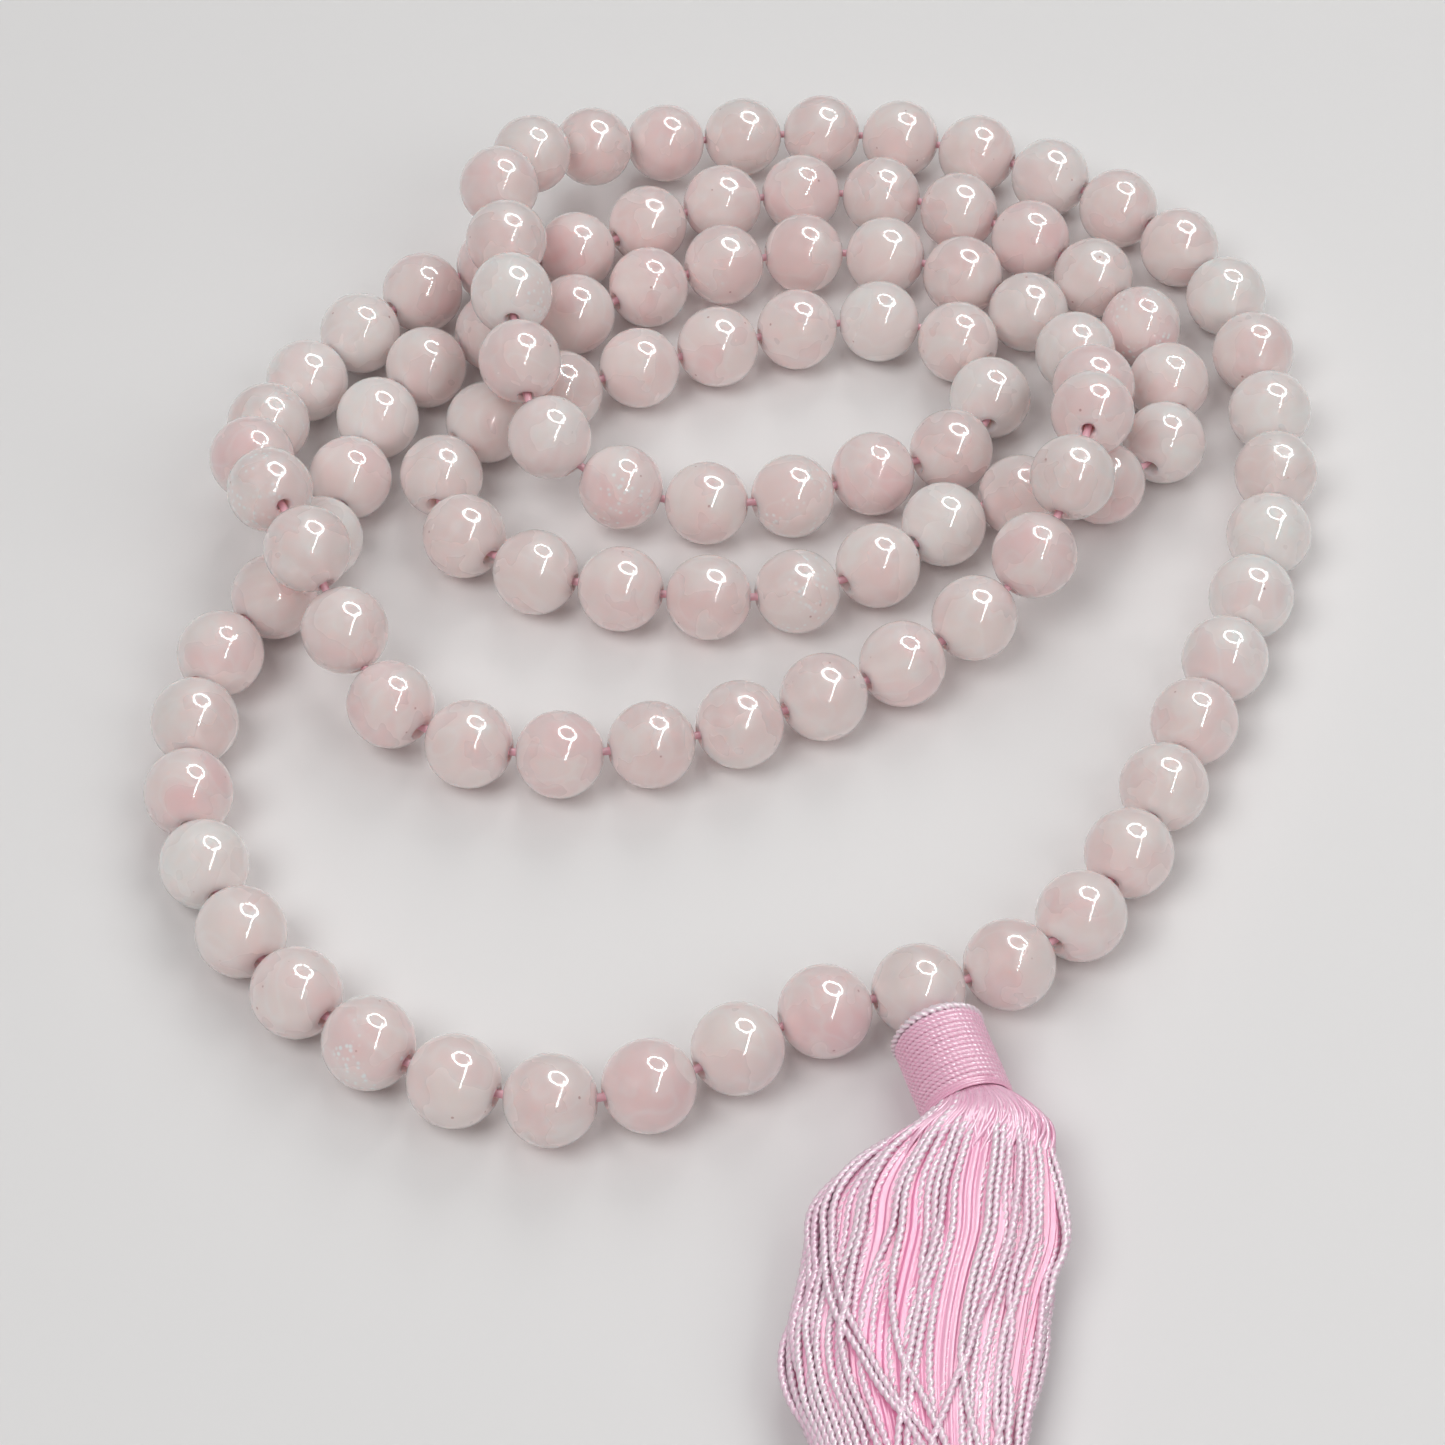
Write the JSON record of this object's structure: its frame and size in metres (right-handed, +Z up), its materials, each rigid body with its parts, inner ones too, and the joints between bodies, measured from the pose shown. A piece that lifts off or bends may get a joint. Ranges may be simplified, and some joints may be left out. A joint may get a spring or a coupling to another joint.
{
  "type": "mala prayer beads",
  "caption": "Loop of round, bored stone beads on one cord, laid in loose turns, closed by a three-hole guru bead that carries a thread-wound tassel.",
  "frame": {"origin": "on the surface that the mala lies on, under the middle of its bounding box", "axes": "+Z up from that surface; the tassel points to -Y, towards the person who holds the mala; +X to the right"},
  "size_m": [0.1082, 0.1834, 0.0166],
  "materials": {
    "rose_quartz": "polished",
    "cord": "satin",
    "skirt_thread": "satin",
    "rim_thread": "satin",
    "wrap_thread": "satin"
  },
  "bodies": {
    "strand": {"stringing_cord": "cord", "beads_024_to_044": "rose_quartz", "beads_045_to_065": "rose_quartz", "beads_066_to_085": "rose_quartz"},
    "guru_bead": {"guru_bead": "rose_quartz", "guru_cord_tails": "cord"},
    "tassel_head": {"cord_knot": "cord", "hanger_loop": "cord", "tassel_head_core": "skirt_thread", "tassel_rim_cord": "rim_thread", "tassel_neck_wrap": "wrap_thread", "tassel_binding_thread": "wrap_thread"},
    "tassel_skirt": {"tassel_skirt_inner": "skirt_thread", "tassel_skirt_outer": "skirt_thread"},
    "bead_001": {"bead_001": "rose_quartz"},
    "bead_002": {"bead_002": "rose_quartz"},
    "bead_003": {"bead_003": "rose_quartz"},
    "bead_004": {"bead_004": "rose_quartz"},
    "bead_005": {"bead_005": "rose_quartz"},
    "bead_006": {"bead_006": "rose_quartz"},
    "bead_007": {"bead_007": "rose_quartz"},
    "bead_008": {"bead_008": "rose_quartz"},
    "bead_009": {"bead_009": "rose_quartz"},
    "bead_010": {"bead_010": "rose_quartz"},
    "bead_011": {"bead_011": "rose_quartz"},
    "bead_012": {"bead_012": "rose_quartz"},
    "bead_013": {"bead_013": "rose_quartz"},
    "bead_014": {"bead_014": "rose_quartz"},
    "bead_015": {"bead_015": "rose_quartz"},
    "bead_016": {"bead_016": "rose_quartz"},
    "bead_017": {"bead_017": "rose_quartz"},
    "bead_018": {"bead_018": "rose_quartz"},
    "bead_019": {"bead_019": "rose_quartz"},
    "bead_020": {"bead_020": "rose_quartz"},
    "bead_021": {"bead_021": "rose_quartz"},
    "bead_022": {"bead_022": "rose_quartz"},
    "bead_023": {"bead_023": "rose_quartz"},
    "bead_086": {"bead_086": "rose_quartz"},
    "bead_087": {"bead_087": "rose_quartz"},
    "bead_088": {"bead_088": "rose_quartz"},
    "bead_089": {"bead_089": "rose_quartz"},
    "bead_090": {"bead_090": "rose_quartz"},
    "bead_091": {"bead_091": "rose_quartz"},
    "bead_092": {"bead_092": "rose_quartz"},
    "bead_093": {"bead_093": "rose_quartz"},
    "bead_094": {"bead_094": "rose_quartz"},
    "bead_095": {"bead_095": "rose_quartz"},
    "bead_096": {"bead_096": "rose_quartz"},
    "bead_097": {"bead_097": "rose_quartz"},
    "bead_098": {"bead_098": "rose_quartz"},
    "bead_099": {"bead_099": "rose_quartz"},
    "bead_100": {"bead_100": "rose_quartz"},
    "bead_101": {"bead_101": "rose_quartz"},
    "bead_102": {"bead_102": "rose_quartz"},
    "bead_103": {"bead_103": "rose_quartz"},
    "bead_104": {"bead_104": "rose_quartz"},
    "bead_105": {"bead_105": "rose_quartz"},
    "bead_106": {"bead_106": "rose_quartz"},
    "bead_107": {"bead_107": "rose_quartz"},
    "bead_108": {"bead_108": "rose_quartz"}
  },
  "joints": [
    {"name": "guru_turn", "type": "hinge", "parent": "strand", "child": "guru_bead", "pos_m": [0.0135, -0.022, 0.004], "axis": [-0.9557, -0.2944, 0], "range_deg": [0, 120]},
    {"name": "tassel_swing", "type": "hinge", "parent": "guru_bead", "child": "tassel_head", "pos_m": [0.0135, -0.022, 0.004], "axis": [0, 0, 1], "range_deg": [-10, 10]},
    {"name": "skirt_sway", "type": "hinge", "parent": "tassel_head", "child": "tassel_skirt", "pos_m": [0.01727, -0.03423, 0.004], "axis": [0, 0, 1], "range_deg": [-12, 12]},
    {"name": "bead_001_spin", "type": "hinge", "parent": "strand", "child": "bead_001", "pos_m": [0.02129, -0.01937, 0.004], "axis": [0.9269, 0.3754, 0], "continuous": true},
    {"name": "bead_002_spin", "type": "hinge", "parent": "strand", "child": "bead_002", "pos_m": [0.02771, -0.01424, 0.004], "axis": [0.6134, 0.7898, 0], "continuous": true},
    {"name": "bead_003_spin", "type": "hinge", "parent": "strand", "child": "bead_003", "pos_m": [0.0323, -0.00742, 0.004], "axis": [0.4867, 0.8736, 0], "continuous": true},
    {"name": "bead_004_spin", "type": "hinge", "parent": "strand", "child": "bead_004", "pos_m": [0.03592, -0.00004, 0.004], "axis": [0.3972, 0.9177, 0], "continuous": true},
    {"name": "bead_005_spin", "type": "hinge", "parent": "strand", "child": "bead_005", "pos_m": [0.03927, 0.00747, 0.004], "axis": [0.4178, 0.9085, 0], "continuous": true},
    {"name": "bead_006_spin", "type": "hinge", "parent": "strand", "child": "bead_006", "pos_m": [0.0427, 0.01494, 0.004], "axis": [0.4156, 0.9095, 0], "continuous": true},
    {"name": "bead_007_spin", "type": "hinge", "parent": "strand", "child": "bead_007", "pos_m": [0.04582, 0.02254, 0.004], "axis": [0.3429, 0.9394, 0], "continuous": true},
    {"name": "bead_008_spin", "type": "hinge", "parent": "strand", "child": "bead_008", "pos_m": [0.04823, 0.0304, 0.004], "axis": [0.2436, 0.9699, 0], "continuous": true},
    {"name": "bead_009_spin", "type": "hinge", "parent": "strand", "child": "bead_009", "pos_m": [0.0497, 0.03849, 0.004], "axis": [0.1116, 0.9938, 0], "continuous": true},
    {"name": "bead_010_spin", "type": "hinge", "parent": "strand", "child": "bead_010", "pos_m": [0.04994, 0.04671, 0.004], "axis": [-0.0543, 0.9985, 0], "continuous": true},
    {"name": "bead_011_spin", "type": "hinge", "parent": "strand", "child": "bead_011", "pos_m": [0.04914, 0.05489, 0.004], "axis": [-0.1324, 0.9912, 0], "continuous": true},
    {"name": "bead_012_spin", "type": "hinge", "parent": "strand", "child": "bead_012", "pos_m": [0.04723, 0.06289, 0.004], "axis": [-0.3423, 0.9396, 0], "continuous": true},
    {"name": "bead_013_spin", "type": "hinge", "parent": "strand", "child": "bead_013", "pos_m": [0.04317, 0.07003, 0.004], "axis": [-0.6254, 0.7803, -0.0001], "continuous": true},
    {"name": "bead_014_spin", "type": "hinge", "parent": "strand", "child": "bead_014", "pos_m": [0.03744, 0.07593, 0.004], "axis": [-0.7635, 0.6459, 0.0001], "continuous": true},
    {"name": "bead_015_spin", "type": "hinge", "parent": "strand", "child": "bead_015", "pos_m": [0.03076, 0.08072, 0.004], "axis": [-0.8559, 0.5172, -0.0002], "continuous": true},
    {"name": "bead_016_spin", "type": "hinge", "parent": "strand", "child": "bead_016", "pos_m": [0.0234, 0.08437, 0.004], "axis": [-0.9298, 0.368, 0.0003], "continuous": true},
    {"name": "bead_017_spin", "type": "hinge", "parent": "strand", "child": "bead_017", "pos_m": [0.0155, 0.08668, 0.004], "axis": [-0.9818, 0.1899, -0.0006], "continuous": true},
    {"name": "bead_018_spin", "type": "hinge", "parent": "strand", "child": "bead_018", "pos_m": [0.00732, 0.08749, 0.004], "axis": [-1, 0.0055, 0.0011], "continuous": true},
    {"name": "bead_019_spin", "type": "hinge", "parent": "strand", "child": "bead_019", "pos_m": [-0.00088, 0.08702, 0.004], "axis": [-0.9932, -0.1164, -0.0051], "continuous": true},
    {"name": "bead_020_spin", "type": "hinge", "parent": "strand", "child": "bead_020", "pos_m": [-0.00892, 0.08537, 0.00458], "axis": [-0.9463, -0.285, 0.1526], "continuous": true},
    {"name": "bead_021_spin", "type": "hinge", "parent": "strand", "child": "bead_021", "pos_m": [-0.0163, 0.0824, 0.00664], "axis": [-0.8378, -0.4258, 0.3419], "continuous": true},
    {"name": "bead_022_spin", "type": "hinge", "parent": "strand", "child": "bead_022", "pos_m": [-0.0223, 0.07769, 0.00969], "axis": [-0.6055, -0.6947, 0.3882], "continuous": true},
    {"name": "bead_023_spin", "type": "hinge", "parent": "strand", "child": "bead_023", "pos_m": [-0.0252, 0.07032, 0.0119], "axis": [-0.0048, -0.9967, 0.0814], "continuous": true},
    {"name": "bead_086_spin", "type": "hinge", "parent": "strand", "child": "bead_086", "pos_m": [0.0134, 0.06873, 0.004], "axis": [-0.9821, 0.1878, -0.0153], "continuous": true},
    {"name": "bead_087_spin", "type": "hinge", "parent": "strand", "child": "bead_087", "pos_m": [0.00518, 0.06913, 0.004], "axis": [-0.9945, -0.1045, 0.0087], "continuous": true},
    {"name": "bead_088_spin", "type": "hinge", "parent": "strand", "child": "bead_088", "pos_m": [-0.00287, 0.06748, 0.004], "axis": [-0.9601, -0.2797, -0.0048], "continuous": true},
    {"name": "bead_089_spin", "type": "hinge", "parent": "strand", "child": "bead_089", "pos_m": [-0.01039, 0.06417, 0.004], "axis": [-0.8387, -0.5446, 0.0026], "continuous": true},
    {"name": "bead_090_spin", "type": "hinge", "parent": "strand", "child": "bead_090", "pos_m": [-0.01764, 0.06028, 0.004], "axis": [-0.9392, -0.3434, -0.0015], "continuous": true},
    {"name": "bead_091_spin", "type": "hinge", "parent": "strand", "child": "bead_091", "pos_m": [-0.02544, 0.05769, 0.004], "axis": [-0.9364, -0.3508, 0.0008], "continuous": true},
    {"name": "bead_092_spin", "type": "hinge", "parent": "strand", "child": "bead_092", "pos_m": [-0.03201, 0.05276, 0.004], "axis": [-0.6459, -0.7634, -0.0004], "continuous": true},
    {"name": "bead_093_spin", "type": "hinge", "parent": "strand", "child": "bead_093", "pos_m": [-0.0363, 0.04575, 0.004], "axis": [-0.3475, -0.9377, 0.0003], "continuous": true},
    {"name": "bead_094_spin", "type": "hinge", "parent": "strand", "child": "bead_094", "pos_m": [-0.03841, 0.0378, 0.004], "axis": [-0.1901, -0.9818, -0.0001], "continuous": true},
    {"name": "bead_095_spin", "type": "hinge", "parent": "strand", "child": "bead_095", "pos_m": [-0.04065, 0.02989, 0.004], "axis": [-0.3359, -0.9419, 0.0001], "continuous": true},
    {"name": "bead_096_spin", "type": "hinge", "parent": "strand", "child": "bead_096", "pos_m": [-0.0444, 0.02258, 0.004], "axis": [-0.5911, -0.8066, 0], "continuous": true},
    {"name": "bead_097_spin", "type": "hinge", "parent": "strand", "child": "bead_097", "pos_m": [-0.0487, 0.01557, 0.004], "axis": [-0.4044, -0.9146, 0], "continuous": true},
    {"name": "bead_098_spin", "type": "hinge", "parent": "strand", "child": "bead_098", "pos_m": [-0.05028, 0.0075, 0.004], "axis": [-0.023, -0.9997, 0], "continuous": true},
    {"name": "bead_099_spin", "type": "hinge", "parent": "strand", "child": "bead_099", "pos_m": [-0.05002, -0.00071, 0.004], "axis": [0.1135, -0.9935, 0], "continuous": true},
    {"name": "bead_100_spin", "type": "hinge", "parent": "strand", "child": "bead_100", "pos_m": [-0.04789, -0.00865, 0.004], "axis": [0.3856, -0.9227, 0], "continuous": true},
    {"name": "bead_101_spin", "type": "hinge", "parent": "strand", "child": "bead_101", "pos_m": [-0.04405, -0.01592, 0.004], "axis": [0.5486, -0.8361, 0], "continuous": true},
    {"name": "bead_102_spin", "type": "hinge", "parent": "strand", "child": "bead_102", "pos_m": [-0.03885, -0.02229, 0.004], "axis": [0.7078, -0.7064, 0], "continuous": true},
    {"name": "bead_103_spin", "type": "hinge", "parent": "strand", "child": "bead_103", "pos_m": [-0.03243, -0.02742, 0.004], "axis": [0.8474, -0.531, 0], "continuous": true},
    {"name": "bead_104_spin", "type": "hinge", "parent": "strand", "child": "bead_104", "pos_m": [-0.02514, -0.03122, 0.004], "axis": [0.9163, -0.4004, 0], "continuous": true},
    {"name": "bead_105_spin", "type": "hinge", "parent": "strand", "child": "bead_105", "pos_m": [-0.01714, -0.03312, 0.004], "axis": [0.9995, -0.0328, 0], "continuous": true},
    {"name": "bead_106_spin", "type": "hinge", "parent": "strand", "child": "bead_106", "pos_m": [-0.00904, -0.03172, 0.004], "axis": [0.9386, 0.345, 0], "continuous": true},
    {"name": "bead_107_spin", "type": "hinge", "parent": "strand", "child": "bead_107", "pos_m": [-0.00172, -0.02799, 0.004], "axis": [0.816, 0.578, 0], "continuous": true},
    {"name": "bead_108_spin", "type": "hinge", "parent": "strand", "child": "bead_108", "pos_m": [0.00558, -0.02421, 0.004], "axis": [0.9604, 0.2786, 0], "continuous": true}
  ]
}
